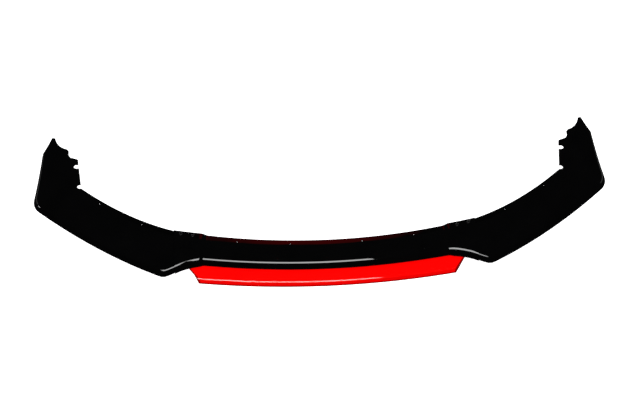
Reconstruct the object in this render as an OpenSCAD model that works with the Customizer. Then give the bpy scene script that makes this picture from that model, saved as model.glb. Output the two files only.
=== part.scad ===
// Front splitter lip: a centre lip whose raised ends lap over two wings, with a
// coloured blade screwed under the centre. The car's front is towards -Y.
// Inside the modules y is measured backwards from the blade's front edge.

/* [Overall] */
// Width across the outer corners of the two wings
overall_w = 1808; // [1760:2:1860]
// Depth from the front of the blade to the wing tips
overall_d = 575; // [563:2:591]
// Wall thickness of the moulded lip sections
wall = 3; // [2.5:0.1:3.4]

/* [Centre lip] */
// Distance from the blade's front edge back to the lip's lower front edge
blade_reach = 51.5; // [46:0.5:58]
// Depth of the centre lip from its lower front edge to its rear edge
centre_depth = 84; // [76:0.5:90]
// Radius of the lower front edge seen from above
nose_r = 2050; // [1900:10:2200]
// Radius of the rear edge seen from above
rear_r = 1700; // [1600:10:1800]
// Height of the front face, from its lower edge to the crease
face_h = 20; // [19:0.5:26]
// How far the crease lies behind the lower front edge
face_back = 8; // [6:0.5:12]
// Length of wall that the rounding of the crease takes up on each side
crease_d = 6; // [5:0.5:8]
// Height of the flat rear band above the ground
deck_z = 60; // [54:0.5:66]
// Width of the flat rear band that lies against the bumper
band_w = 28; // [24:0.5:32]

/* [Lap joints] */
// Distance from the blade's front corner in to the step where the centre lip rises
step_in = 17; // [13:1:29]
// Length of the sloped step
step_l = 16; // [12:0.5:19]
// Length of the raised end that covers the wing
cover_l = 72; // [68:1:78]
// Clearance between the cover and the wing under it
lap_gap = 0.3; // [0.2:0.05:0.5]
// How much further back the cover reaches than the lip's rear edge, at the step
cover_back = 2.5; // [2:0.5:6]
// Distance between the two bolts of a lap joint
lap_pitch = 36; // [32:1:40]
// Distance from the lip's rear edge forward to the lap bolts
lap_back = 11; // [9:0.5:12]
// Length of the slots in the wing that let the lip be set wider or narrower
slot_l = 20; // [16:1:22]

/* [Wings] */
// Distance from the blade's rear corner out to the point of the tooth
tooth_out = 70.5; // [62:0.5:78]
// Distance from the blade's front edge back to the tooth
tooth_y = 52; // [47:0.5:57]
// Height of the tooth's lower edge above the ground
tooth_z = 11; // [8:0.5:15]
// Rounding of the tooth
tooth_round = 5; // [3:0.5:9]
// Outward bow of the wing's front edge
wing_bow = 21; // [16:0.5:26]
// Radius of the wing's outer corner
corner_r = 55; // [45:1:65]
// Distance from the wing tips forward to the widest point
corner_ahead = 180; // [172:1:188]
// Distance from the side in to the shoulder where the arm begins
shoulder_in = 156; // [148:1:166]
// Distance from the wing tips forward to the shoulder
shoulder_ahead = 200; // [194:1:206]
// Outward bow of the wing's rear edge
rear_bow = 21; // [16:0.5:26]
// Height of the rear edge at the shoulder
shoulder_z = 80; // [74:1:86]
// Height of the wing tip
tip_z = 110; // [100:1:120]
// Height of the arm's edge at the tip
tip_face_h = 12; // [11:0.5:14]
// Distance from the side in to the wing tip
tip_inset = 58; // [52:1:64]
// Radius of the hollow curve between the tip and the first tab
hollow_r = 48; // [44:0.5:52]
// Radius of the notches between the tabs
notch_r = 8; // [6:0.5:10]

/* [Ribs] */
// Thickness of the stiffening ribs inside the lip sections
rib_t = 2; // [1.6:0.1:2.4]
// Depth of the ribs under the deck
rib_h = 12; // [9:0.5:14]
// Number of ribs in each wing between the lap and the corner
wing_rib_count = 6; // [4:1:7]

/* [Blade] */
// Width of the blade's front edge
blade_w = 782; // [744:2:790]
// How much further each end reaches at the lip than at the front edge
blade_slant = 38; // [30:1:42]
// Radius of the blade's front edge seen from above
blade_r = 2400; // [2200:20:2600]
// Height of the blade's front face
blade_face_h = 17; // [14:0.5:17.5]
// How far the crease of the blade lies behind its front edge
blade_face_back = 5.5; // [3:0.5:8]
// Height of the blade's flange under the lip
blade_top = 20; // [18.5:0.5:24]
// Depth of the flange behind the lip's lower front edge
flange_d = 40; // [36:1:44]
// Wall thickness of the blade
blade_wall = 3; // [2.5:0.1:3.4]

/* [Fasteners] */
// Diameter of the lap bolts
bolt_d = 5; // [4:0.5:6]
// Diameter of the blade screws
screw_d = 3.2; // [2.8:0.1:4]
// Length of a blade screw under its head
screw_l = 16; // [13:0.5:20]
// Distance from the step in to the outermost blade screws
screw_in = 74; // [54:1:110]
// Diameter of the screw bosses inside the centre lip
boss_d = 10; // [8:0.5:11]
// Distance from the lip's lower front edge back to the screws
screw_back = 27; // [25:0.5:29]

/* [Mounting holes] */
// Diameter of the holes for the screws that hold the lip to the bumper
mount_hole_d = 3.6; // [3:0.1:5]
// Distance from the middle to the inner holes of the centre lip
centre_hole_mid = 110; // [90:1:130]
// Distance from the step in to the outer holes of the centre lip
centre_hole_in = 104; // [84:1:124]
// Distance from the cover's end out to the inner hole of a wing
wing_hole_out = 98; // [78:1:118]
// Distance from the shoulder in to the outer hole of a wing
wing_hole_in = 58; // [48:1:78]

/* [Hidden] */
sides = ["left", "right"];
lap_places = ["inner", "outer"];
screw_numbers = [1, 2, 3, 4, 5];

$fn = 48;
black = [0.02, 0.02, 0.022];
red = [0.9, 0.02, 0.02];
zinc = [0.72, 0.73, 0.75];
black_zinc = [0.08, 0.08, 0.09];

// Rounding of the profile at the crease and at the root of the rear band, where the
// lengths that it takes up are limited by the deck and the band beside it
crease_steps = 5;
crease_share = 0.45;
root_steps = 3;
root_d = 8;
root_share = 0.4;
band_share = 0.3;
band_round_share = 0.6;

// How far cutting shapes reach past what they cut
cut_margin = 1;
cut_reach = 3 * wall;

// The ribs reach down the front wall by the foot, and their lower edge turns up at the heel
rib_foot = 6;
rib_heel_at = 0.72;
arm_rib_vs = [0.12, 0.4];

// The step, the blade's rear corners and the teeth, from the middle
step_x = blade_w / 2 - step_in;
blade_end_x = blade_w / 2 + blade_slant;
tooth_x = blade_end_x + tooth_out;

// The lip's lower edge clears the blade under it, drops from there to the tooth, and falls
// evenly from the tooth to the ground at the wing's outer corner
edge_gap = 0.3;
nose_z0 = blade_top + edge_gap;
drop_gap = 4;
drop_x = blade_end_x + drop_gap;

// Where the lower front edge leaves the centre arc and runs forward to the tooth
dip_lead = 10;
dip_x = step_x - dip_lead;
dip_slope = -0.24;

// The raised ends of the centre lip and the wings' tongues under them
cover_in = step_x + step_l;
cover_out = cover_in + cover_l;
tongue_gap = 6;
tongue_x = cover_in + tongue_gap;
lap_rise = wall + lap_gap;
lap_mid = (tongue_x + cover_out) / 2;

// Places on the wing
shoulder_x = overall_w / 2 - shoulder_in;
shoulder_y = overall_d - shoulder_ahead;
corner_c = [overall_w / 2 - corner_r, overall_d - corner_ahead];
corner_a1 = 44;
corner_lift = 7;
tip = [overall_w / 2 - tip_inset, overall_d];
knee_from_tip = [30, -36];
knee = tip + knee_from_tip;
knee_v = 0.75;
tip_blunt = [-14, -3];
tip_in = tip + tip_blunt;
face_back_tip = 3;
arm_rise_start = 0.55;

// The arm's inner edge: its two tabs, with their shares of the rise and of the way to the
// tip, the notches before them, the cut behind the pointed tab and the hollow curve
tab_a_from_tip = [-50, -44];
tab_b_from_tip = [-86, -86];
tab_a = tip + tab_a_from_tip;
tab_b = tip + tab_b_from_tip;
tab_a_rise = 0.67;
tab_b_rise = 0.4;
tab_a_z = mix(shoulder_z, tip_z, tab_a_rise);
tab_b_z = mix(shoulder_z, tip_z, tab_b_rise);
tab_a_q = 0.8;
tab_b_q = 0.55;
corner_q = 0.15;
notch_a_from_shoulder = [5, 8];
notch_b_from_tab = [5, -26];
notch_places = [[shoulder_x, shoulder_y] + notch_a_from_shoulder, tab_b + notch_b_from_tab];
tab_b_cut = [[-6, 0], [24, 10], [30, 20], [29.5, 36], [-6, 36]];
hollow_c = arc_centre(tab_a, tip_in, hollow_r);

// Fasteners and their holes
screw_pitch = 2 * (step_x - screw_in) / (len(screw_numbers) - 1);
bolt_clear = 0.25;
bolt_head_r = 1.1 * bolt_d;
bolt_head_h = 0.5 * bolt_d;
bolt_dome_r = 1.6 * bolt_head_r;
bolt_socket = 0.6 * bolt_d;
lap_washer_r = 1.5 * bolt_d;
lap_washer_h = 1.2;
nut_af = 1.6 * bolt_d;
nut_h = 0.8 * bolt_d;
bolt_end = 1.5;
thread_gap = 0.05;
screw_head_r = 1.25 * screw_d;
screw_head_h = 0.75 * screw_d;
screw_slot = 0.3 * screw_d;
blade_washer_r = 1.7 * screw_d;
blade_washer_h = 1;
screw_tip_gap = 2;

function mix(a, b, t) = a + (b - a) * t;
function ease(t) = let (c = min(max(t, 0), 1)) c * c * (3 - 2 * c);
function smooth_max(a, b, k) = (a + b + sqrt((a - b) * (a - b) + k * k)) / 2;
function bow(a, b, rise, t) = mix(a, b, t) - 4 * rise * t * (1 - t);
function unit(v) = v / norm(v);

// Centre of the arc of radius r from a to b, to the left of the way from a to b
function arc_centre(a, b, r) =
    let (d = b - a, h = sqrt(r * r - d * d / 4))
    (a + b) / 2 + h * unit([-d[1], d[0]]);

// Cubic from height a with slope ma to height b with slope mb over the length l
function cubic(a, b, ma, mb, l, t) =
    a * (1 - 3 * t * t + 2 * t * t * t) + b * (3 * t * t - 2 * t * t * t)
    + l * ma * (t - 2 * t * t + t * t * t) + l * mb * (t * t * t - t * t);

// Lower front edge of the lip, from the middle to the wing's outer corner
function centre_nose_y(x) = blade_reach + x * x / (2 * nose_r);
function dip_y(x) =
    x < dip_x ? centre_nose_y(x)
    : x > tooth_x ? tooth_y + dip_slope * (x - tooth_x)
    : cubic(centre_nose_y(dip_x), tooth_y, dip_x / nose_r, dip_slope, tooth_x - dip_x,
        (x - dip_x) / (tooth_x - dip_x));
function wing_nose_y(x) =
    bow(tooth_y, corner_in[1], wing_bow, (x - tooth_x) / (corner_in[0] - tooth_x));
function nose_y(x) = smooth_max(dip_y(x), wing_nose_y(x), tooth_round);
function nose_z(x) =
    x < drop_x ? nose_z0
    : x > tooth_x ? tooth_z - tooth_fall * (x - tooth_x)
    : cubic(nose_z0, tooth_z, 0, -tooth_fall, tooth_x - drop_x,
        (x - drop_x) / (tooth_x - drop_x));

// Rear edge of the lip in the same section, from the middle to the shoulder. Up to the step
// the sections stand square to the nose, so they draw together towards the rear.
fan = 1 - centre_depth / nose_r;
function rear_x(x) =
    x < step_x ? fan * x
    : x < cover_out ? mix(fan * step_x, cover_out, (x - step_x) / (cover_out - step_x))
    : mix(cover_out, shoulder_x, (x - cover_out) / (corner_in[0] - cover_out));
function rear_arc_y(x) = blade_reach + centre_depth + x * x / (2 * rear_r);
function rear_t(x) = max((x - cover_out) / (shoulder_x - cover_out), 0);
function rear_y(x) =
    x < cover_out ? rear_arc_y(x)
    : bow(rear_arc_y(cover_out), shoulder_y, rear_bow, rear_t(x));
function rear_z(x) = mix(deck_z, shoulder_z, rear_t(x));

// Points of the wing's outer corner by heading, and of the arm's two edges
function corner_pt(a) = corner_c + corner_r * [sin(a), -cos(a)];
corner_in = corner_pt(corner_a1);
tooth_fall = tooth_z / (corner_in[0] - tooth_x);
to_knee = knee - corner_c;
corner_a2 = atan2(to_knee[1], to_knee[0]) + asin(corner_r / norm(to_knee));
corner_out_pt = corner_pt(corner_a2);
function arm_out(v) =
    v < knee_v ? mix(corner_out_pt, knee, v / knee_v)
    : mix(knee, tip, (v - knee_v) / (1 - knee_v));
function arm_out_z(v) =
    mix(corner_lift, tip_z - tip_face_h, arm_rise_start * v + (1 - arm_rise_start) * v * v);
function arm_in(q) =
    q < tab_b_q ? mix([shoulder_x, shoulder_y, shoulder_z],
        [tab_b[0], tab_b[1], tab_b_z], q / tab_b_q)
    : q < tab_a_q ? mix([tab_b[0], tab_b[1], tab_b_z],
        [tab_a[0], tab_a[1], tab_a_z], (q - tab_b_q) / (tab_a_q - tab_b_q))
    : mix([tab_a[0], tab_a[1], tab_a_z],
        [tip_in[0], tip_in[1], tip_z], (q - tab_a_q) / (1 - tab_a_q));

// Rounds the corner b between a and c with a quadratic curve that starts d before it
function rounded(a, b, c, d, steps) =
    let (p = b + d * unit(a - b), r = b + d * unit(c - b))
    [for (i = [0 : steps]) let (t = i / steps)
        (1 - t) * (1 - t) * p + 2 * t * (1 - t) * b + t * t * r];

// Hook-shaped profile: front face, crease, deck and flat rear band, as [back, up];
// the band's end reaches further back by more than its root does
function hook(depth, low_z, high_z, fh, fb, more = 0) =
    let (
        band = min(band_w, band_share * depth),
        foot = [0, low_z],
        crease = [fb, low_z + fh],
        root = [depth - band, high_z],
        end = [depth + more, high_z],
        deck = norm(root - crease)
    )
    concat([foot],
        rounded(foot, crease, root, min(crease_d, crease_share * deck), crease_steps),
        rounded(crease, root, end,
            min(root_d, root_share * deck, band_round_share * band), root_steps),
        [end]);

// Moves a profile inwards by d; its foot stays level and its end stays upright
function inset(p, d) =
    let (n = len(p))
    [for (i = [0 : n - 1])
        let (
            e1 = unit(p[max(i, 1)] - p[max(i, 1) - 1]),
            e2 = unit(p[min(i, n - 2) + 1] - p[min(i, n - 2)]),
            n1 = [e1[1], -e1[0]],
            n2 = [e2[1], -e2[0]],
            m = n1 + n2
        )
        i == 0 ? p[0] + [d / n1[0], 0] : p[i] + 2 * d * m / (m * m)];

// Closed ring of a wall that lies between two distances from a profile
function ring(p, outer, inner) =
    let (q = inset(p, inner))
    concat(inset(p, outer), [for (i = [len(q) - 1 : -1 : 0]) q[i]]);

// Places a profile's ring in the upright plane from the front point to the rear one
function placed(front, rear, r) =
    let (dir = unit(rear - front))
    [for (k = r) [front[0] + dir[0] * k[0], front[1] + dir[1] * k[0], k[1]]];

// Ring of the lip at the front edge's x, lifted off the base shape by rise
function lip_ring(x, rise, back) =
    let (
        ax = abs(x),
        front = [ax, nose_y(ax)],
        rear = [rear_x(ax), rear_y(rear_x(ax))],
        p = hook(norm(rear - front), nose_z(ax), rear_z(rear_x(ax)), face_h, face_back, back),
        r = placed(front, rear, ring(p, -rise, wall - rise))
    )
    [for (k = r) [x < 0 ? -k[0] : k[0], k[1], k[2]]];
function corner_ring(t) =
    let (
        front = corner_pt(mix(corner_a1, corner_a2, t)),
        in = arm_in(corner_q * t),
        rear = [in[0], in[1]]
    )
    placed(front, rear,
        ring(hook(norm(rear - front), corner_lift * t * t, in[2], face_h, face_back), 0, wall));
function arm_profile(v, in, depth) =
    hook(depth, arm_out_z(v), in[2], mix(face_h, tip_face_h, v),
        mix(face_back, face_back_tip, v));
function arm_ring(v) =
    let (
        front = arm_out(v),
        in = arm_in(mix(corner_q, 1, v)),
        rear = [in[0], in[1]]
    )
    placed(front, rear, ring(arm_profile(v, in, norm(rear - front)), 0, wall));

function quad(a, b, c, d, flip) = flip ? [[b, c, d], [b, d, a]] : [[a, b, c], [a, c, d]];

// Solid through a row of rings. The quads of the first turned spans are split the other way,
// and so are those of the inner skin, which keeps two lapped skins parallel.
module loft(rings, turned = 0) {
    m = len(rings[0]);
    n = len(rings);
    half = m / 2;
    side = [for (i = [0 : n - 2]) for (j = [0 : m - 1]) for (t = quad(
        i * m + j, i * m + (j + 1) % m, (i + 1) * m + (j + 1) % m, (i + 1) * m + j,
        (i < turned) != (j >= half))) t];
    start = [for (j = [0 : half - 2]) for (t = quad(
        j, m - 1 - j, m - 2 - j, j + 1, false)) t];
    last = (n - 1) * m;
    end = [for (j = [0 : half - 2]) for (t = quad(
        last + j, last + j + 1, last + m - 2 - j, last + m - 1 - j, false)) t];
    polyhedron(points = [for (r = rings) each r], faces = concat(side, start, end));
}

// Stiffening rib across the inside of a hook-shaped section, from the middle of the front
// wall along the deck to the root of the rear band
module rib(front, rear, p) {
    depth = norm(rear - front);
    mid = inset(p, wall / 2);
    root = len(p) - 2;
    foot = mid[1] + rib_foot * unit(mid[0] - mid[1]);
    heel = mix(mid[1 + crease_steps], mid[root], rib_heel_at) - [0, rib_h];
    way = rear - front;
    translate([front[0], front[1], 0])
        rotate([0, 0, atan2(way[1], way[0])])
            rotate([90, 0, 0])
                linear_extrude(rib_t, center = true)
                    polygon(concat([foot], [for (i = [1 : root]) mid[i]], [heel]));
}

// Rib of the lip at the front edge's x, and rib of the arm at its share v
module lip_rib(x) {
    ax = abs(x);
    front = [ax, nose_y(ax)];
    rear = [rear_x(ax), rear_y(rear_x(ax))];
    mirror([x < 0 ? 1 : 0, 0, 0])
        rib(front, rear,
            hook(norm(rear - front), nose_z(ax), rear_z(rear_x(ax)), face_h, face_back));
}

module arm_rib(v) {
    in = arm_in(mix(corner_q, 1, v));
    rear = [in[0], in[1]];
    rib(arm_out(v), rear, arm_profile(v, in, norm(rear - arm_out(v))));
}

module in_frame() {
    translate([0, -overall_d / 2, 0])
        children();
}

// Bores at the places where the centre lip and the wings are fastened
function lap_x(i) = rear_x(lap_mid) + (i - 0.5) * lap_pitch;
function band_mid_y(x) = rear_y(x) - band_w / 2;
function lap_y(i) = rear_y(lap_x(i)) - lap_back;
function screw_x(n) = (n - (len(screw_numbers) + 1) / 2) * screw_pitch;
function screw_y(n) = nose_y(abs(screw_x(n))) + screw_back;

module upright_hole(x, y, r) {
    translate([x, y, deck_z - cut_reach])
        cylinder(r = r, h = shoulder_z - deck_z + 2 * cut_reach);
}

module lip_mount_hole(x) {
    upright_hole(x, band_mid_y(abs(x)), mount_hole_d / 2);
}

// Sections of the centre lip as [x, share of the rise]: the raised ends start at the step,
// and their overhang at the rear tapers to nothing at the cover's end
centre_sections = 13;
step_sections = 3;
cover_sections = 10;
cover_xs = [for (i = [0 : cover_sections]) mix(tongue_x, cover_out, i / cover_sections)];
half_lip = concat(
    [for (i = [1 : centre_sections - 1]) [step_x * i / centre_sections, 0]],
    [for (i = [0 : step_sections]) [step_x + step_l * i / step_sections, ease(i / step_sections)]],
    [for (x = cover_xs) [x, 1]]
);
function overhang(x) = cover_back * (1 - max(abs(x) - cover_in, 0) / cover_l);
whole_lip = concat(
    [for (i = [len(half_lip) - 1 : -1 : 0]) [-half_lip[i][0], half_lip[i][1]]],
    [[0, 0]],
    half_lip
);

// Height of the deck's top face at the screws, where the bosses end inside the wall
function deck_over_screw(n) =
    let (
        x = abs(screw_x(n)),
        depth = rear_y(x) - nose_y(x)
    )
    mix(nose_z0 + face_h, deck_z, (screw_back - face_back) / (depth - band_w - face_back));

module centre_lip() {
    color(black)
        in_frame()
            difference() {
                union() {
                    loft([for (s = whole_lip)
                        lip_ring(s[0], lap_rise * s[1], overhang(s[0]) * s[1])], len(half_lip));
                    for (n = screw_numbers)
                        translate([screw_x(n), screw_y(n), blade_top])
                            cylinder(d = boss_d, h = deck_over_screw(n) - blade_top - wall / 2);
                    for (i = [1 : 2 * len(screw_numbers) - 1])
                        lip_rib(screw_x((i + 1) / 2));
                }
                for (n = screw_numbers)
                    translate([screw_x(n), screw_y(n), blade_top - wall])
                        cylinder(r = screw_d / 2 + thread_gap, h = screw_l + screw_tip_gap);
                for (side = [-1, 1]) {
                    for (i = [0, 1])
                        upright_hole(side * lap_x(i), lap_y(i),
                            bolt_d / 2 + bolt_clear);
                    lip_mount_hole(side * centre_hole_mid);
                    lip_mount_hole(side * (step_x - centre_hole_in));
                }
            }
}

// Slot along x through the wing's tongue, with round ends
module slot(x, y) {
    r = bolt_d / 2 + bolt_clear;
    half = slot_l / 2 - r;
    for (s = [-1, 1])
        upright_hole(x + s * half, y, r);
    translate([x - half, y - r, deck_z - cut_reach])
        cube([2 * half, 2 * r, 2 * cut_reach]);
}

// Sections of a wing: close together round the tooth and the corner, wider between them
tooth_sections = 6;
front_sections = 10;
corner_sections = 6;
arm_sections = 8;
tip_sections = 3;
tooth_after = 24;
tooth_end_x = tooth_x + tooth_after;
front_xs = concat(
    [for (i = [1 : tooth_sections]) mix(cover_out, tooth_end_x, i / tooth_sections)],
    [for (i = [1 : front_sections]) mix(tooth_end_x, corner_in[0], i / front_sections)]
);
arm_vs = concat(
    [for (i = [1 : arm_sections]) knee_v * i / arm_sections],
    [for (i = [1 : tip_sections]) mix(knee_v, 1, i / tip_sections)]
);

// Cut-outs along the inner edge of the arm: two round notches, the step behind the
// pointed tab, and the hollow curve to the tip
module tab_cuts() {
    high = tip_z - shoulder_z + 2 * cut_reach;
    notch_l = 4 * notch_r;
    translate([0, 0, shoulder_z - cut_reach]) {
        for (p = notch_places) {
            translate(p)
                cylinder(r = notch_r, h = high);
            translate(p - [notch_l, notch_r, 0])
                cube([notch_l, 2 * notch_r, high]);
        }
        translate(tab_b)
            linear_extrude(high)
                polygon(tab_b_cut);
        translate(hollow_c)
            cylinder(r = hollow_r, h = high);
    }
}

module wing() {
    in_frame()
        difference() {
            union() {
                loft(concat(
                    [for (x = concat(cover_xs, front_xs)) lip_ring(x, 0, 0)],
                    [for (i = [1 : corner_sections]) corner_ring(i / corner_sections)],
                    [for (v = arm_vs) arm_ring(v)]));
                for (i = [0 : wing_rib_count - 1])
                    lip_rib(mix(tooth_end_x, corner_in[0], i / wing_rib_count));
                for (v = arm_rib_vs)
                    arm_rib(v);
            }
            for (i = [0, 1])
                slot(lap_x(i), lap_y(i));
            lip_mount_hole(cover_out + wing_hole_out);
            lip_mount_hole(shoulder_x - wing_hole_in);
            tab_cuts();
        }
}

module left_wing() {
    color(black)
        mirror([1, 0, 0])
            wing();
}

module right_wing() {
    color(black)
        wing();
}

// Blade: ring at a share v of the half width; `in` is the distance inside the outer skin
blade_spans = 28;
slant_factor = norm([blade_slant, blade_reach]) / blade_reach;
function blade_x(v, s, in) =
    v * (blade_w / 2 + blade_slant * min(max(s / blade_reach, 0), 1) - in * slant_factor);
function blade_y(x) = x * x / (2 * blade_r);
function blade_profile(x, in) =
    let (
        reach = nose_y(abs(x)) - blade_y(x),
        foot = [0, 0],
        crease = [blade_face_back, blade_face_h],
        seat = [reach, blade_top],
        end = [reach + flange_d, blade_top],
        p = concat([foot], rounded(foot, crease, seat, crease_d, crease_steps), [seat, end]),
        q = inset(p, in)
    )
    in == 0 ? concat(p, [[end[0], 0]])
    : concat([[q[0][0], -cut_margin]], [for (i = [1 : len(q) - 2]) q[i]],
        [[end[0] + cut_margin, blade_top - in], [end[0] + cut_margin, -cut_margin]]);
function blade_ring(v, in) =
    [for (k = blade_profile(v * blade_w / 2, in))
        let (x = blade_x(v, k[0], in))
        [x, blade_y(x) + k[0], k[1]]];

module splitter_blade() {
    color(red)
        in_frame()
            difference() {
                blade_solid(0);
                blade_solid(blade_wall);
                for (n = screw_numbers)
                    translate([screw_x(n), screw_y(n), 0])
                        cylinder(r = screw_d / 2 + bolt_clear, h = 2 * blade_top);
            }
}

module blade_solid(in) {
    rings = [for (i = [0 : blade_spans]) blade_ring(2 * i / blade_spans - 1, in)];
    m = len(rings[0]);
    side = [for (i = [0 : blade_spans - 1]) for (j = [0 : m - 1])
        let (
            a = i * m + j,
            b = i * m + (j + 1) % m,
            c = b + m,
            d = a + m
        )
        each (i < blade_spans / 2 ? [[b, c, d], [b, d, a]] : [[a, b, c], [a, c, d]])];
    polyhedron(
        points = [for (r = rings) each r],
        faces = concat(side, [[for (j = [m - 1 : -1 : 0]) j]],
            [[for (j = [0 : m - 1]) blade_spans * m + j]]));
}

// Lap fasteners: a low round-headed bolt from above, a wide washer and a nut below
band_top = deck_z + lap_rise;
band_under = deck_z - wall;

module at_lap(side, i) {
    in_frame()
        translate([side * lap_x(i), lap_y(i), 0])
            children();
}

module lap_bolt(side, i) {
    length = band_top - band_under + lap_washer_h + nut_h + bolt_end;
    color(black_zinc)
        at_lap(side, i)
            translate([0, 0, band_top])
                difference() {
                    union() {
                        intersection() {
                            cylinder(r = bolt_head_r, h = bolt_head_h);
                            translate([0, 0, bolt_head_h - bolt_dome_r])
                                sphere(r = bolt_dome_r);
                        }
                        translate([0, 0, -length])
                            cylinder(d = bolt_d, h = length + bolt_head_h / 2);
                    }
                    translate([0, 0, bolt_head_h / 2])
                        cylinder(d = bolt_socket, h = bolt_head_h, $fn = 6);
                }
}

module lap_washer(side, i) {
    color(zinc)
        at_lap(side, i)
            translate([0, 0, band_under - lap_washer_h])
                difference() {
                    cylinder(r = lap_washer_r, h = lap_washer_h);
                    translate([0, 0, -cut_margin])
                        cylinder(r = bolt_d / 2 + bolt_clear, h = lap_washer_h + 2 * cut_margin);
                }
}

module lap_nut(side, i) {
    color(zinc)
        at_lap(side, i)
            translate([0, 0, band_under - lap_washer_h - nut_h])
                difference() {
                    cylinder(r = nut_af / sqrt(3), h = nut_h, $fn = 6);
                    translate([0, 0, -cut_margin])
                        cylinder(r = bolt_d / 2 + thread_gap, h = nut_h + 2 * cut_margin);
                }
}

// Blade fasteners: pan-headed screws from below with a washer each
module at_screw(n) {
    in_frame()
        translate([screw_x(n), screw_y(n), blade_top - blade_wall])
            children();
}

module blade_screw(n) {
    color(black_zinc)
        at_screw(n)
            translate([0, 0, -blade_washer_h])
                difference() {
                    union() {
                        cylinder(d = screw_d, h = screw_l);
                        translate([0, 0, -screw_head_h])
                            cylinder(r = screw_head_r, h = screw_head_h);
                    }
                    for (a = [0, 90])
                        rotate([0, 0, a])
                            translate([-screw_head_r / 2, -screw_slot / 2,
                                -screw_head_h - cut_margin])
                                cube([screw_head_r, screw_slot, cut_margin + screw_head_h / 2]);
                }
}

module blade_washer(n) {
    color(zinc)
        at_screw(n)
            translate([0, 0, -blade_washer_h])
                difference() {
                    cylinder(r = blade_washer_r, h = blade_washer_h);
                    translate([0, 0, -cut_margin])
                        cylinder(r = screw_d / 2 + bolt_clear,
                            h = blade_washer_h + 2 * cut_margin);
                }
}

centre_lip();
left_wing();
right_wing();
splitter_blade();
for (s = [0, 1])
    for (i = [0, 1]) {
        tail = str("_", sides[s], "_", lap_places[i]);
        lap_bolt(2 * s - 1, i);
        lap_washer(2 * s - 1, i);
        lap_nut(2 * s - 1, i);
    }
for (n = screw_numbers) {
    blade_screw(n);
    blade_washer(n);
}
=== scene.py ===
import math

import bpy
from mathutils import Matrix, Vector


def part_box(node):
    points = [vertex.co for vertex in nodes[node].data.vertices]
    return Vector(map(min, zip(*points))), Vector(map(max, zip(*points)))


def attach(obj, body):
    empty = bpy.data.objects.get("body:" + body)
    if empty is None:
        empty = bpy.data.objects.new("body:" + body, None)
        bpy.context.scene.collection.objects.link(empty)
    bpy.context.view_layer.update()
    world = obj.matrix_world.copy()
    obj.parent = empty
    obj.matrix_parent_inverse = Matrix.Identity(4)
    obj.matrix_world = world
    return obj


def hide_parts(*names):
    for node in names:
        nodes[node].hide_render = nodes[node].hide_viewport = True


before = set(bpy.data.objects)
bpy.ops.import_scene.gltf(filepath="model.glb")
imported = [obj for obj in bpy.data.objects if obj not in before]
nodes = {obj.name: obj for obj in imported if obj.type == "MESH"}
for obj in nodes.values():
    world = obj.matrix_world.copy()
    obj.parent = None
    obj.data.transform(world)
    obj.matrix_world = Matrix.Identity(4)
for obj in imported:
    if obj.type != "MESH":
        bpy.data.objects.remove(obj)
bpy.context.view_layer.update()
print("frame loaded:", len(nodes), "nodes")


# Small helpers

def pickNothing():
    if bpy.context.mode != "OBJECT":
        bpy.ops.object.mode_set(mode="OBJECT")
    bpy.ops.object.select_all(action="DESELECT")


def pick(piece):
    pickNothing()
    piece.select_set(True)
    bpy.context.view_layer.objects.active = piece


def settle(piece):
    # puts the object's place, turn and scale into its mesh
    pick(piece)
    bpy.ops.object.transform_apply(location=True, rotation=True, scale=True)


def applyAll(piece):
    pick(piece)
    for modifier in list(piece.modifiers):
        bpy.ops.object.modifier_apply(modifier=modifier.name)


def bevelEdges(piece, width, segments, angle):
    bevel = piece.modifiers.new("soft edges", "BEVEL")
    bevel.width = width
    bevel.segments = segments
    bevel.limit_method = "ANGLE"
    bevel.angle_limit = math.radians(angle)
    bevel.use_clamp_overlap = True
    bevel.miter_outer = "MITER_ARC"


def evenNormals(piece, angle, weight):
    pick(piece)
    bpy.ops.object.shade_smooth_by_angle(angle=math.radians(angle))
    weighted = piece.modifiers.new("even shading", "WEIGHTED_NORMAL")
    weighted.keep_sharp = True
    weighted.weight = weight
    applyAll(piece)


def copyOf(piece, name):
    twin = bpy.data.objects.new(name, piece.data.copy())
    bpy.context.scene.collection.objects.link(twin)
    return twin


# Materials

def newMaterial(name):
    material = bpy.data.materials.new(name)
    material.use_nodes = True
    tree = material.node_tree
    tree.nodes.clear()
    output = tree.nodes.new("ShaderNodeOutputMaterial")
    shader = tree.nodes.new("ShaderNodeBsdfPrincipled")
    tree.links.new(shader.outputs["BSDF"], output.inputs["Surface"])
    place = tree.nodes.new("ShaderNodeTexCoord")
    return material, tree, shader, place.outputs["Object"]


def noiseAt(tree, coords, scale, detail, roughness=0.5, stretch=None):
    if stretch:
        mapping = tree.nodes.new("ShaderNodeMapping")
        mapping.inputs["Scale"].default_value = stretch
        tree.links.new(coords, mapping.inputs["Vector"])
        coords = mapping.outputs["Vector"]
    noise = tree.nodes.new("ShaderNodeTexNoise")
    noise.inputs["Scale"].default_value = scale
    noise.inputs["Detail"].default_value = detail
    noise.inputs["Roughness"].default_value = roughness
    tree.links.new(coords, noise.inputs["Vector"])
    return noise.outputs["Fac"]


def spread(tree, value, low, high, fromLow=0.3, fromHigh=0.7):
    ranger = tree.nodes.new("ShaderNodeMapRange")
    ranger.inputs["From Min"].default_value = fromLow
    ranger.inputs["From Max"].default_value = fromHigh
    ranger.inputs["To Min"].default_value = low
    ranger.inputs["To Max"].default_value = high
    tree.links.new(value, ranger.inputs["Value"])
    return ranger.outputs["Result"]


def blendColours(tree, value, first, second):
    ramp = tree.nodes.new("ShaderNodeValToRGB")
    ramp.color_ramp.elements[0].color = (*first, 1)
    ramp.color_ramp.elements[1].color = (*second, 1)
    tree.links.new(value, ramp.inputs["Fac"])
    return ramp.outputs["Color"]


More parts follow.
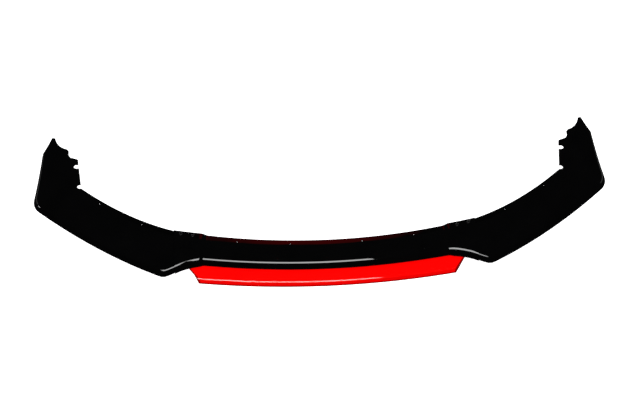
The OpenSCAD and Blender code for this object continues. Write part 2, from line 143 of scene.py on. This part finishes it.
def addBump(tree, shader, value, depth, strength, under=None):
    bump = tree.nodes.new("ShaderNodeBump")
    bump.inputs["Distance"].default_value = depth
    bump.inputs["Strength"].default_value = strength
    tree.links.new(value, bump.inputs["Height"])
    if under:
        tree.links.new(under, bump.inputs["Normal"])
    tree.links.new(bump.outputs["Normal"], shader.inputs["Normal"])
    return bump.outputs["Normal"]


def reckon(tree, operation, *values):
    # one maths node, fed with sockets or plain numbers
    node = tree.nodes.new("ShaderNodeMath")
    node.operation = operation
    for socket, value in zip(node.inputs, values):
        if isinstance(value, float):
            socket.default_value = value
        else:
            tree.links.new(value, socket)
    return node.outputs["Value"]


# gloss: long shallow waves left by the moulding, and the faint orange peel of a gloss skin
glossLook = {
    "toneScale": 14.0, "hazeScale": 32.0, "rough": (0.02, 0.045),
    "flowScale": 9.0, "flowDepth": 0.00012, "flowStrength": 0.5,
    "peelScale": 240.0, "peelDepth": 0.000012, "peelStrength": 0.6,
}


def glossPlastic(name, deep, light, specular):
    look = glossLook
    material, tree, shader, coords = newMaterial(name)
    shader.inputs["Specular IOR Level"].default_value = specular
    tone = noiseAt(tree, coords, look["toneScale"], detail=4.0)
    tree.links.new(blendColours(tree, tone, deep, light), shader.inputs["Base Color"])
    haze = noiseAt(tree, coords, look["hazeScale"], detail=5.0, roughness=0.6)
    tree.links.new(spread(tree, haze, *look["rough"]), shader.inputs["Roughness"])
    waves = noiseAt(tree, coords, look["flowScale"], detail=1.0)
    flow = addBump(tree, shader, waves, look["flowDepth"], look["flowStrength"])
    peel = noiseAt(tree, coords, look["peelScale"], detail=2.0)
    addBump(tree, shader, peel, look["peelDepth"], look["peelStrength"], flow)
    return material


# the inside of a moulding: satin, with the fine grain of an unpolished mould
insideLook = {
    "specular": 0.35, "toneScale": 22.0, "rough": (0.38, 0.55),
    "grainScale": 900.0, "grainDepth": 0.00004, "grainStrength": 0.5,
}


def mouldedInside(name, deep, light):
    look = insideLook
    material, tree, shader, coords = newMaterial(name)
    shader.inputs["Specular IOR Level"].default_value = look["specular"]
    tone = noiseAt(tree, coords, look["toneScale"], detail=5.0)
    tree.links.new(blendColours(tree, tone, deep, light), shader.inputs["Base Color"])
    grain = noiseAt(tree, coords, look["grainScale"], detail=2.0)
    tree.links.new(spread(tree, grain, *look["rough"]), shader.inputs["Roughness"])
    addBump(tree, shader, grain, look["grainDepth"], look["grainStrength"])
    return material


steelLook = {
    "toneScale": 260.0, "scuffScale": 700.0, "scuffStretch": (1.0, 1.0, 6.0),
    "smoother": 0.08, "rougher": 0.1,   # how far the scuffs change the roughness
    "scuffDepth": 0.00001, "scuffStrength": 0.4,
}


def finishedSteel(name, deep, light, rough, metallic, specular):
    look = steelLook
    material, tree, shader, coords = newMaterial(name)
    shader.inputs["Metallic"].default_value = metallic
    shader.inputs["Specular IOR Level"].default_value = specular
    tone = noiseAt(tree, coords, look["toneScale"], detail=4.0)
    tree.links.new(blendColours(tree, tone, deep, light), shader.inputs["Base Color"])
    scuffs = noiseAt(tree, coords, look["scuffScale"], detail=3.0, stretch=look["scuffStretch"])
    roughness = spread(tree, scuffs, rough - look["smoother"], rough + look["rougher"])
    tree.links.new(roughness, shader.inputs["Roughness"])
    addBump(tree, shader, scuffs, look["scuffDepth"], look["scuffStrength"])
    return material


rimShadeLook = {
    "endAt": 0.5546, "endSlope": 0.64,   # the blade ends where x is endAt plus endSlope times y, mirrored
    "endWidth": (0.0038, 0.0056), "footHeight": (0.0029, 0.0044),   # where the painted shade fades out
    # the share of the base colour left at the darkest of the painted shade
    "tone": 0.27,
}


def paintRimShade(material, look):
    # painted shade: a darker base colour along the blade's lower edge and slanted ends, standing in for the
    # shade where the rounded edge turns away from the light
    tree = material.node_tree
    shader = tree.nodes["Principled BSDF"]
    coords = tree.nodes.new("ShaderNodeTexCoord")
    place = tree.nodes.new("ShaderNodeSeparateXYZ")
    tree.links.new(coords.outputs["Object"], place.inputs["Vector"])
    endLine = reckon(tree, "MULTIPLY_ADD", place.outputs["Y"], look["endSlope"], look["endAt"])
    inside = reckon(tree, "SUBTRACT", endLine, reckon(tree, "ABSOLUTE", place.outputs["X"]))
    shadeByEnd = spread(tree, inside, look["tone"], 1.0, *look["endWidth"])
    shadeByFoot = spread(tree, place.outputs["Z"], look["tone"], 1.0, *look["footHeight"])
    scaled = tree.nodes.new("ShaderNodeVectorMath")
    scaled.operation = "SCALE"
    tree.links.new(shader.inputs["Base Color"].links[0].from_socket, scaled.inputs["Vector"])
    tree.links.new(reckon(tree, "MINIMUM", shadeByEnd, shadeByFoot), scaled.inputs["Scale"])
    tree.links.new(scaled.outputs["Vector"], shader.inputs["Base Color"])


glossBlackLook = {"deep": (0.0004, 0.0004, 0.00045), "light": (0.0012, 0.0012, 0.0013), "specular": 0.3}
glossRedLook = {"deep": (0.82, 0.0004, 0.0002), "light": (0.95, 0.0010, 0.0006), "specular": 0.4}
insideBlackLook = {"deep": (0.020, 0.020, 0.021), "light": (0.034, 0.034, 0.036)}
insideRedLook = {"deep": (0.42, 0.004, 0.003), "light": (0.6, 0.008, 0.006)}
brightZincLook = {
    "deep": (0.52, 0.53, 0.55), "light": (0.74, 0.75, 0.77),
    "rough": 0.28, "metallic": 1.0, "specular": 0.5,
}
blackCoatLook = {
    "deep": (0.0015, 0.0015, 0.0016), "light": (0.004, 0.004, 0.0042),
    "rough": 0.36, "metallic": 0.0, "specular": 0.08,
}

glossBlack = glossPlastic("gloss black", **glossBlackLook)
glossRed = glossPlastic("gloss red", **glossRedLook)
# painted shade along the red blade's lower edge and slanted ends
paintRimShade(glossRed, rimShadeLook)
insideBlack = mouldedInside("moulded black", **insideBlackLook)
insideRed = mouldedInside("moulded red", **insideRedLook)
brightZinc = finishedSteel("bright zinc", **brightZincLook)
blackCoat = finishedSteel("black coat", **blackCoatLook)
print("materials made")


# The four mouldings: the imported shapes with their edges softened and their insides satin

panelLook = {
    "weldDistance": 0.00001, "flatAngle": 0.02,   # what counts as one point and as one flat face
    "edgeWidth": 0.0006, "edgeSegments": 2, "edgeAngle": 48.0,
    "smoothAngle": 36.0, "faceWeight": 60,   # how much the broad faces lead the shading of their edges
    "insideSlope": -0.05,   # faces that look down by more than this belong to the inside
}


def softMoulding(name, node, skin, inside):
    piece = copyOf(nodes[node], name)
    pick(piece)
    bpy.ops.object.mode_set(mode="EDIT")
    bpy.ops.mesh.select_all(action="SELECT")
    bpy.ops.mesh.remove_doubles(threshold=panelLook["weldDistance"])
    bpy.ops.mesh.dissolve_limited(angle_limit=math.radians(panelLook["flatAngle"]))
    bpy.ops.object.mode_set(mode="OBJECT")
    bevelEdges(piece, panelLook["edgeWidth"], panelLook["edgeSegments"], panelLook["edgeAngle"])
    applyAll(piece)
    piece.data.materials.clear()
    piece.data.materials.append(skin)
    piece.data.materials.append(inside)
    for face in piece.data.polygons:
        face.material_index = 1 if face.normal.z < panelLook["insideSlope"] else 0
    evenNormals(piece, panelLook["smoothAngle"], panelLook["faceWeight"])
    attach(piece, "root")
    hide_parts(node)
    return piece


centreLip = softMoulding("centreLip", "centre_lip", glossBlack, insideBlack)
leftWing = softMoulding("leftWing", "left_wing", glossBlack, insideBlack)
rightWing = softMoulding("rightWing", "right_wing", glossBlack, insideBlack)
splitterBlade = softMoulding("splitterBlade", "splitter_blade", glossRed, insideRed)
for piece in (centreLip, leftWing, rightWing, splitterBlade):
    print("moulding", piece.name, len(piece.data.polygons), "faces")


# Fasteners, each modelled once at the origin and copied to its places

fastenerLook = {
    "weldDistance": 0.000001, "smoothAngle": 34.0,
    "levelFace": 0.9,   # a face is level when its normal's z is more than this, up or down
    "headEdge": (2, 42.0), "nutEdge": (2, 50.0), "washerEdge": (3, 50.0),   # segments and angle of the edges
    "firstTurn": 23.0, "nextTurn": 37.0,   # each copy is turned a little further, as if tightened by hand
}


def editFaces(piece, wanted):
    # opens the piece in edit mode with only the wanted faces picked
    pick(piece)
    bpy.ops.object.mode_set(mode="EDIT")
    bpy.ops.mesh.select_mode(type="FACE")
    bpy.ops.mesh.select_all(action="DESELECT")
    bpy.ops.object.mode_set(mode="OBJECT")
    for face in piece.data.polygons:
        face.select = wanted(face)
    bpy.ops.object.mode_set(mode="EDIT")


def facesUp(face):
    return face.normal.z > fastenerLook["levelFace"]


def facesDown(face):
    return face.normal.z < -fastenerLook["levelFace"]


def addDrum(name, sides, radius, low, high):
    pickNothing()
    tall, middle = high - low, (low + high) / 2
    bpy.ops.mesh.primitive_cylinder_add(vertices=sides, radius=radius, depth=tall, location=(0, 0, middle))
    drum = bpy.context.active_object
    drum.name = name
    settle(drum)
    return drum


def cutWith(piece, cutter, operation="DIFFERENCE"):
    boolean = piece.modifiers.new("cut", "BOOLEAN")
    boolean.operation = operation
    boolean.solver = "EXACT"
    boolean.object = cutter
    applyAll(piece)
    bpy.data.objects.remove(cutter, do_unlink=True)


def cleanUp(piece):
    pick(piece)
    bpy.ops.object.mode_set(mode="EDIT")
    bpy.ops.mesh.select_all(action="SELECT")
    bpy.ops.mesh.remove_doubles(threshold=fastenerLook["weldDistance"])
    bpy.ops.mesh.normals_make_consistent(inside=False)
    bpy.ops.object.mode_set(mode="OBJECT")


def makeHead(name, look):
    # the head stands on z = 0, and the bare shank hangs below it
    screw = addDrum(name, look["sides"], look["headRadius"], 0.0, look["sideHeight"])
    editFaces(screw, facesUp)
    for inward, upward in look["crownSteps"]:
        bpy.ops.mesh.inset(thickness=inward, depth=0)
        bpy.ops.transform.translate(value=(0, 0, upward))
    editFaces(screw, facesDown)
    bpy.ops.mesh.inset(thickness=look["headRadius"] - look["coreRadius"], depth=0)
    straight = look["length"] - look["pointLength"]
    bpy.ops.mesh.extrude_region_move(TRANSFORM_OT_translate={"value": (0, 0, -straight)})
    bpy.ops.mesh.extrude_region_move(TRANSFORM_OT_translate={"value": (0, 0, -look["pointLength"])})
    bpy.ops.transform.resize(value=(look["pointScale"], look["pointScale"], 1))
    bpy.ops.object.mode_set(mode="OBJECT")
    return screw


def windThread(screw, look):
    # a three-sided ridge wound round the shank, its inner side sunk into the core
    # such a triangle is one and a half times its own radius deep
    size = (look["crestRadius"] - look["coreRadius"] + look["threadSink"]) / 1.5
    start = -look["length"] + look["threadEnd"]
    pickNothing()
    bpy.ops.mesh.primitive_circle_add(vertices=3, radius=size, fill_type="NOTHING",
                                      rotation=(math.pi / 2, math.pi / 2, 0),
                                      location=(look["crestRadius"] - size, 0, start))
    ridge = bpy.context.active_object
    settle(ridge)
    winding = ridge.modifiers.new("winding", "SCREW")
    winding.axis = "Z"
    winding.screw_offset = look["pitch"]
    winding.iterations = int((-start - look["pitch"]) / look["pitch"])
    winding.steps = look["threadSteps"]
    winding.render_steps = look["threadSteps"]
    applyAll(ridge)
    bpy.ops.object.mode_set(mode="EDIT")
    bpy.ops.mesh.select_all(action="SELECT")
    bpy.ops.mesh.fill_holes(sides=0)
    bpy.ops.object.mode_set(mode="OBJECT")
    straight = look["length"] - look["pointLength"]
    for vertex in ridge.data.vertices:
        past = max(0.0, -straight - vertex.co.z) / look["pointLength"]
        shrink = 1 - (1 - look["pointScale"]) * past
        vertex.co.x *= shrink
        vertex.co.y *= shrink
    pick(screw)
    ridge.select_set(True)
    bpy.ops.object.join()


def finishSteel(piece, finish):
    cleanUp(piece)
    piece.data.materials.clear()
    piece.data.materials.append(finish)
    pick(piece)
    bpy.ops.object.shade_smooth_by_angle(angle=math.radians(fastenerLook["smoothAngle"]))


def pieceName(node):
    words = node.split("_")
    return words[0] + "".join(word.capitalize() for word in words[1:])


def placeCopies(model, family, seat, flip=False):
    # one copy on each node of the family; the seat is the height of its head, or 0 for what has none
    count = 0
    for node in sorted(name for name in nodes if name.startswith(family)):
        low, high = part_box(node)
        level = high[2] - seat if seat > 0 and not flip else low[2] + seat
        twin = copyOf(model, pieceName(node))
        twin.location = ((low[0] + high[0]) / 2, (low[1] + high[1]) / 2, level)
        turn = math.radians(fastenerLook["firstTurn"] + count * fastenerLook["nextTurn"])
        twin.rotation_euler = (math.pi if flip else 0, 0, turn)
        settle(twin)
        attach(twin, "root")
        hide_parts(node)
        count += 1
    bpy.data.objects.remove(model, do_unlink=True)
    print("placed", count, family)


# Lap bolts: low domed heads with a hexagon socket, threaded up to the head

boltLook = {
    "sides": 48, "headRadius": 0.0055, "headHeight": 0.0025, "sideHeight": 0.00057,
    "crownSteps": (   # inwards and upwards, from the side to the flat top
        (0.0005, 0.00037), (0.0008, 0.00049), (0.0009, 0.000425), (0.0009, 0.00031), (0.0005, 0.000126),
    ),
    "coreRadius": 0.00215, "crestRadius": 0.0025, "length": 0.013, "pointLength": 0.0007, "pointScale": 0.8,
    "pitch": 0.0008, "threadSink": 0.00008, "threadEnd": 0.0008, "threadSteps": 24,
    "socketRadius": 0.00165, "socketDepth": 0.0014, "edgeWidth": 0.00008,
}


def makeLapBolt():
    look = boltLook
    bolt = makeHead("lapBolt", look)
    top, deep = look["headHeight"], look["socketDepth"]
    cutWith(bolt, addDrum("socket cutter", 6, look["socketRadius"], top - deep, top + deep))
    bevelEdges(bolt, look["edgeWidth"], *fastenerLook["headEdge"])
    applyAll(bolt)
    windThread(bolt, look)
    finishSteel(bolt, blackCoat)
    return bolt


# Blade screws: pan heads with a cross recess, a coarse thread and a point

screwLook = {
    "sides": 48, "headRadius": 0.0040, "headHeight": 0.0024, "sideHeight": 0.0010,
    "crownSteps": ((0.00035, 0.00045), (0.0006, 0.00045), (0.0008, 0.0003), (0.0008, 0.00015)),
    "coreRadius": 0.00115, "crestRadius": 0.0016, "length": 0.016, "pointLength": 0.0042, "pointScale": 0.12,
    "pitch": 0.0013, "threadSink": 0.0001, "threadEnd": 0.0016, "threadSteps": 24,
    "recessLength": 0.0038, "recessWidth": 0.00095, "recessDepth": 0.0015, "recessTaper": (0.45, 0.6),
    "edgeWidth": 0.00008,
}


def cutCross(screw, look):
    top, tall = look["headHeight"], 2 * look["recessDepth"]
    length, width = look["recessLength"], look["recessWidth"]
    for long, wide in ((length, width), (width, length)):
        pickNothing()
        bpy.ops.mesh.primitive_cube_add(size=1, location=(0, 0, top), scale=(long, wide, tall))
        bar = bpy.context.active_object
        settle(bar)
        editFaces(bar, facesDown)
        along, across = look["recessTaper"]
        taper = (along, across, 1) if long > wide else (across, along, 1)
        bpy.ops.transform.resize(value=taper)
        bpy.ops.object.mode_set(mode="OBJECT")
        cutWith(screw, bar)


def makeBladeScrew():
    look = screwLook
    screw = makeHead("bladeScrew", look)
    cutCross(screw, look)
    bevelEdges(screw, look["edgeWidth"], *fastenerLook["headEdge"])
    applyAll(screw)
    windThread(screw, look)
    finishSteel(screw, blackCoat)
    return screw


# Nuts: a hexagon with turned corners and a chamfered bore

nutLook = {
    "acrossFlats": 0.008, "height": 0.004, "boreRadius": 0.00255,
    "cornerFall": 0.00042, "cornerInset": 0.00074,   # how far the turned corners drop, and how far in
    "blankSpare": 1.001, "sides": 64, "edgeWidth": 0.0001,
}


def makeNut():
    look = nutLook
    height, fall = look["height"], look["cornerFall"]
    corner = look["acrossFlats"] / math.sqrt(3)
    nut = addDrum("lapNut", 6, corner, 0.0, height)
    blank = addDrum("turned blank", look["sides"], corner * look["blankSpare"], fall, height - fall)
    for wanted, lift in ((facesUp, fall), (facesDown, -fall)):
        editFaces(blank, wanted)
        bpy.ops.mesh.inset(thickness=look["cornerInset"], depth=0)
        bpy.ops.transform.translate(value=(0, 0, lift))
        bpy.ops.object.mode_set(mode="OBJECT")
    cutWith(nut, blank, "INTERSECT")
    cutWith(nut, addDrum("bore cutter", look["sides"], look["boreRadius"], -height, 2 * height))
    bevelEdges(nut, look["edgeWidth"], *fastenerLook["nutEdge"])
    applyAll(nut)
    finishSteel(nut, brightZinc)
    return nut


# Washers: flat punched rings with rolled rims

lapWasherLook = {
    "sides": 64, "radius": 0.0075, "boreRadius": 0.00275, "height": 0.0012, "edgeWidth": 0.0002,
}
bladeWasherLook = {
    "sides": 64, "radius": 0.00544, "boreRadius": 0.00185, "height": 0.001, "edgeWidth": 0.00016,
}


def makeWasher(name, look):
    washer = addDrum(name, look["sides"], look["radius"], 0.0, look["height"])
    editFaces(washer, lambda face: facesUp(face) or facesDown(face))
    bpy.ops.mesh.inset(thickness=look["radius"] - look["boreRadius"], depth=0)
    bpy.ops.mesh.delete(type="FACE")
    bpy.ops.mesh.select_mode(type="EDGE")
    bpy.ops.mesh.select_non_manifold()
    bpy.ops.mesh.bridge_edge_loops()
    bpy.ops.object.mode_set(mode="OBJECT")
    bevelEdges(washer, look["edgeWidth"], *fastenerLook["washerEdge"])
    applyAll(washer)
    finishSteel(washer, brightZinc)
    return washer


placeCopies(makeLapBolt(), "lap_bolt_", boltLook["headHeight"])
placeCopies(makeWasher("lapWasher", lapWasherLook), "lap_washer_", 0.0)
placeCopies(makeNut(), "lap_nut_", 0.0)
placeCopies(makeBladeScrew(), "blade_screw_", screwLook["headHeight"], flip=True)
placeCopies(makeWasher("bladeWasher", bladeWasherLook), "blade_washer_", 0.0)


# Floor, light and camera

floorLook = {
    "size": 30.0, "colour": (0.86, 0.86, 0.86), "wornTone": 0.985,
    "toneScale": 1.5, "glow": 1.0, "rough": 0.9, "specular": 0.1,
}


def makeFloor():
    look = floorLook
    pickNothing()
    bpy.ops.mesh.primitive_plane_add(size=look["size"], location=(0, 0, 0))
    floor = bpy.context.active_object
    floor.name = "floor"
    floor.visible_glossy = False
    floor.visible_diffuse = False
    material, tree, shader, coords = newMaterial("pale floor")
    tone = noiseAt(tree, coords, look["toneScale"], detail=4.0)
    worn = tuple(look["wornTone"] * c for c in look["colour"])
    tree.links.new(blendColours(tree, tone, worn, look["colour"]), shader.inputs["Base Color"])
    shader.inputs["Roughness"].default_value = look["rough"]
    shader.inputs["Specular IOR Level"].default_value = look["specular"]
    shader.inputs["Emission Color"].default_value = (1, 1, 1, 1)
    shader.inputs["Emission Strength"].default_value = look["glow"]
    floor.data.materials.append(material)


redCardLook = {
    "centre": (0.19, 4.7, 5.0), "reach": 0.8, "strength": 1.8, "colour": (1.0, 0.0, 0.004),
}


def makeRedCard():
    # a red card high behind the part, which the flat rear band of the centre mirrors as a dim red glow
    look = redCardLook
    pickNothing()
    away = Vector(look["centre"]).to_track_quat("-Z", "Y").to_euler()
    bpy.ops.mesh.primitive_plane_add(size=2 * look["reach"], location=look["centre"], rotation=away)
    card = bpy.context.active_object
    card.name = "redCard"
    card.visible_camera = False
    card.visible_diffuse = False
    card.visible_shadow = False
    material, tree, shader, coords = newMaterial("red card")
    mapping = tree.nodes.new("ShaderNodeMapping")
    mapping.inputs["Scale"].default_value = (1 / look["reach"],) * 3
    tree.links.new(coords, mapping.inputs["Vector"])
    fall = tree.nodes.new("ShaderNodeTexGradient")
    fall.gradient_type = "SPHERICAL"
    tree.links.new(mapping.outputs["Vector"], fall.inputs["Vector"])
    glow = spread(tree, fall.outputs["Fac"], 0.0, look["strength"], 0.0, 1.0)
    tree.links.new(glow, shader.inputs["Emission Strength"])
    shader.inputs["Emission Color"].default_value = (*look["colour"], 1)
    shader.inputs["Base Color"].default_value = (0, 0, 0, 1)
    card.data.materials.append(material)
    seenBy = bpy.data.collections.new("mirrors the red card")
    seenBy.objects.link(centreLip)
    card.light_linking.receiver_collection = seenBy


skyLook = {
    "axis": (0.0, -0.45, 0.893), "blend": (0.35, 0.65),   # the bright side and how softly it ends
    "low": 0.08, "high": 1.75, "mirrored": 0.02,
}


def makeSky():
    # an even studio, bright from above and in front, which the gloss mirrors only as a dim grey
    look = skyLook
    world = bpy.data.worlds.new("studio")
    world.use_nodes = True
    tree = world.node_tree
    towards = tree.nodes.new("ShaderNodeTexCoord")
    along = tree.nodes.new("ShaderNodeVectorMath")
    along.operation = "DOT_PRODUCT"
    tree.links.new(towards.outputs["Generated"], along.inputs[0])
    along.inputs[1].default_value = look["axis"]
    rise = spread(tree, along.outputs["Value"], look["low"], look["high"], *look["blend"])
    lit = tree.nodes["Background"]
    lit.inputs["Color"].default_value = (1, 1, 1, 1)
    tree.links.new(rise, lit.inputs["Strength"])
    mirrored = tree.nodes.new("ShaderNodeBackground")
    mirrored.inputs["Strength"].default_value = look["mirrored"]
    path = tree.nodes.new("ShaderNodeLightPath")
    either = tree.nodes.new("ShaderNodeMixShader")
    tree.links.new(path.outputs["Is Glossy Ray"], either.inputs["Fac"])
    tree.links.new(lit.outputs["Background"], either.inputs[1])
    tree.links.new(mirrored.outputs["Background"], either.inputs[2])
    tree.links.new(either.outputs["Shader"], tree.nodes["World Output"].inputs["Surface"])
    bpy.context.scene.world = world


# only the gloss sees the softboxes: the key hangs over the front and gives the nose its long highlight,
# and the others stand round the part, so that the dark skin shows its shape from every side
partMiddle = (0.0, 0.0, 0.05)
softboxes = {
    "key softbox": {
        "centre": (-0.68, -3.0, 3.6), "aim": (-0.68, -3.0, 0.0), "turn": 8.5,
        "size": (3.0, 3.4), "power": 520.0,
    },
    "corner box": {
        "centre": (-6.0, -0.18, 0.3), "aim": partMiddle, "turn": 0.0, "size": (1.0, 0.6), "power": 36.0,
    },
    "left box": {
        "centre": (-6.0, 2.6, 1.4), "aim": partMiddle, "turn": 0.0, "size": (3.4, 1.4), "power": 16.0,
    },
    "right box": {
        "centre": (6.0, 1.9, 1.4), "aim": partMiddle, "turn": 0.0, "size": (3.4, 1.4), "power": 16.0,
    },
    "back box": {
        "centre": (0.0, 6.5, 1.2), "aim": partMiddle, "turn": 0.0, "size": (9.0, 1.0), "power": 140.0,
    },
}


def makeSoftbox(name, look):
    data = bpy.data.lights.new(name, "AREA")
    data.shape = "RECTANGLE"
    data.size, data.size_y = look["size"]
    data.energy = look["power"]
    lamp = bpy.data.objects.new(name, data)
    ahead = Vector(look["aim"]) - Vector(look["centre"])
    facing = ahead.to_track_quat("-Z", "Y").to_matrix().to_4x4()
    turned = Matrix.Rotation(math.radians(look["turn"]), 4, "Z")
    lamp.matrix_world = Matrix.Translation(look["centre"]) @ turned @ facing
    lamp.visible_camera = False
    lamp.visible_diffuse = False
    bpy.context.scene.collection.objects.link(lamp)


# the photograph: 640 x 403 pixels, seen from in front and above, a little from the left
cameraLook = {
    "turn": -3.27, "rise": 46.57, "distance": 6.053, "target": (-0.0089, 0.0087, 0.060),
    "metresPerPixel": 0.0031041, "pixelsWide": 640, "sensor": 36.0, "reach": 60.0,
}


def makeCamera():
    look = cameraLook
    turn, rise = math.radians(look["turn"]), math.radians(look["rise"])
    back = Vector((math.sin(turn) * math.cos(rise), -math.cos(turn) * math.cos(rise), math.sin(rise)))
    right = Vector((math.cos(turn), math.sin(turn), 0))
    up = back.cross(right)
    data = bpy.data.cameras.new("camera")
    data.sensor_fit = "HORIZONTAL"
    data.sensor_width = look["sensor"]
    data.lens = look["distance"] / look["metresPerPixel"] * look["sensor"] / look["pixelsWide"]
    data.clip_end = look["reach"]
    camera = bpy.data.objects.new("camera", data)
    turned = Matrix((right, up, back)).transposed().to_4x4()
    camera.matrix_world = Matrix.Translation(Vector(look["target"]) + look["distance"] * back) @ turned
    bpy.context.scene.collection.objects.link(camera)
    bpy.context.scene.camera = camera


makeFloor()
makeRedCard()
makeSky()
for name, box in softboxes.items():
    makeSoftbox(name, box)
makeCamera()
bpy.context.scene.view_settings.view_transform = "Standard"
print("stage made")
